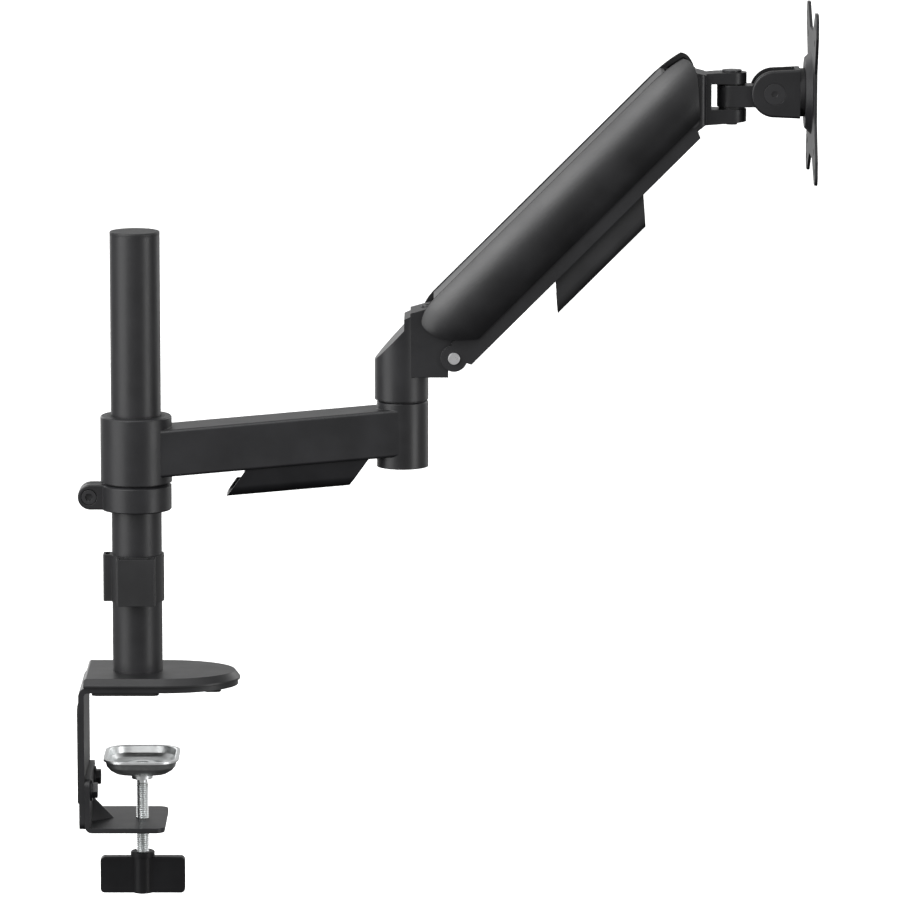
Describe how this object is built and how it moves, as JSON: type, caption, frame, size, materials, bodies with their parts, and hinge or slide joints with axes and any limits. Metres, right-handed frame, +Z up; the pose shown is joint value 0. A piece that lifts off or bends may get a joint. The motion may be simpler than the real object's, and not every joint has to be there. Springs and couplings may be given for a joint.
{
  "type": "monitor arm",
  "caption": "Desk-clamp monitor arm: pole with a locking collar, swivelling lower arm, gas-spring upper arm and a tilting, turning screen plate.",
  "frame": {"origin": "on the pole's axis, at the desk top's upper surface under the base", "axes": "+X from the pole towards the screen, +Z up the pole, Y across"},
  "size_m": [0.5133, 0.118, 0.6273],
  "materials": {
    "rubber_black": "matt",
    "powder_black_steel": "satin powder coat",
    "cast_black_alloy": "satin powder coat on die-cast alloy",
    "plastic_black": "fine matt texture",
    "plastic_black_satin": "satin",
    "zinc_steel": "bright zinc plate",
    "black_fasteners": "black oxide",
    "bright_steel": "ground steel"
  },
  "bodies": {
    "desk_clamp": {"desk_pad": "rubber_black", "nose_pad": "rubber_black", "clamp_frame": "powder_black_steel", "edge_strip": "rubber_black", "base_cover": "plastic_black_satin", "lower_jaw": "powder_black_steel", "jaw_washers": "black_fasteners", "jaw_bolts": "black_fasteners", "pole_tube": "powder_black_steel", "pole_cap": "plastic_black", "pole_socket": "powder_black_steel", "pole_bolt": "black_fasteners", "pole_clip": "plastic_black"},
    "press_pad_body": {"press_pad": "zinc_steel"},
    "clamp_screw_body": {"clamp_screw": "zinc_steel", "clamp_knob": "plastic_black"},
    "collar": {"locking_collar": "cast_black_alloy", "collar_screw": "black_fasteners", "collar_nut": "black_fasteners", "glide_ring": "plastic_black"},
    "lower_arm_body": {"lower_arm": "cast_black_alloy", "pole_bushing": "plastic_black", "elbow_bushing": "plastic_black", "lower_arm_clip": "plastic_black"},
    "elbow": {"elbow_bracket": "cast_black_alloy", "elbow_shaft": "bright_steel", "elbow_washer": "black_fasteners", "elbow_nut": "black_fasteners", "tension_screw": "black_fasteners", "spring_carriage": "powder_black_steel", "spring_foot_pin": "bright_steel", "lower_elbow_pin": "bright_steel", "upper_elbow_pin": "bright_steel"},
    "upper_link_body": {"upper_link": "powder_black_steel", "near_cover": "plastic_black_satin", "far_cover": "plastic_black_satin"},
    "lower_link_body": {"lower_link": "powder_black_steel", "gas_cylinder": "powder_black_steel", "spring_top_pin": "bright_steel", "upper_arm_clip": "plastic_black"},
    "gas_rod_body": {"gas_rod": "bright_steel"},
    "fork": {"end_fork": "cast_black_alloy", "lower_fork_pin": "black_fasteners", "upper_fork_pin": "bright_steel", "swivel_bolt": "black_fasteners", "swivel_washers": "plastic_black"},
    "knuckle": {"swivel_knuckle": "cast_black_alloy"},
    "tilt_head": {"tilt_bracket": "powder_black_steel", "tilt_bolt": "black_fasteners", "turn_washer": "plastic_black", "turn_rivet": "bright_steel"},
    "plate": {"vesa_plate": "powder_black_steel"}
  },
  "joints": [
    {"name": "clamp_travel", "type": "slide", "parent": "desk_clamp", "child": "press_pad_body", "axis": [0, 0, 1], "range_m": [-0.027, 0.02]},
    {"name": "clamp_turn", "type": "hinge", "parent": "press_pad_body", "child": "clamp_screw_body", "pos_m": [0.0024, 0, -0.08], "axis": [0, 0, 1], "range_deg": [-6480.5, 4800.5]},
    {"name": "collar_height", "type": "slide", "parent": "desk_clamp", "child": "collar", "axis": [0, 0, 1], "range_m": [-0.03, 0.12]},
    {"name": "shoulder_swivel", "type": "hinge", "parent": "collar", "child": "lower_arm_body", "pos_m": [0, 0, 0.17], "axis": [0, 0, 1], "continuous": true},
    {"name": "elbow_swivel", "type": "hinge", "parent": "lower_arm_body", "child": "elbow", "pos_m": [0.1865, 0, 0.205], "axis": [0, 0, 1], "range_deg": [-90, 90]},
    {"name": "arm_pitch", "type": "hinge", "parent": "elbow", "child": "upper_link_body", "pos_m": [0.2184, 0, 0.2641], "axis": [0, -1, 0], "range_deg": [-80, 5]},
    {"name": "lower_link_pitch", "type": "hinge", "parent": "elbow", "child": "lower_link_body", "pos_m": [0.2224, 0, 0.2361], "axis": [0, -1, 0], "range_deg": [-80.5, 5.5]},
    {"name": "spring_stroke", "type": "slide", "parent": "lower_link_body", "child": "gas_rod_body", "axis": [-0.7285, 0, -0.685], "range_m": [-0.002, 0.018]},
    {"name": "fork_level", "type": "hinge", "parent": "upper_link_body", "child": "fork", "pos_m": [0.38351, 0, 0.42921], "axis": [0, -1, 0], "range_deg": [-5.5, 80.5]},
    {"name": "head_swivel", "type": "hinge", "parent": "fork", "child": "knuckle", "pos_m": [0.4151, 0, 0.4199], "axis": [0, 0, 1], "range_deg": [-90, 90]},
    {"name": "head_tilt", "type": "hinge", "parent": "knuckle", "child": "tilt_head", "pos_m": [0.4443, 0, 0.4199], "axis": [0, -1, 0], "range_deg": [-45, 45]},
    {"name": "plate_turn", "type": "hinge", "parent": "tilt_head", "child": "plate", "pos_m": [0.466, 0, 0.4199], "axis": [1, 0, 0], "continuous": true}
  ],
  "couplings": [
    {"joint": "clamp_turn", "follows": "clamp_travel", "rad_per_m": 4188.8},
    {"joint": "lower_link_pitch", "follows": "arm_pitch", "ratio": 1},
    {"joint": "spring_stroke", "follows": "arm_pitch", "m_per_rad": -0.0125},
    {"joint": "fork_level", "follows": "arm_pitch", "ratio": -1}
  ]
}
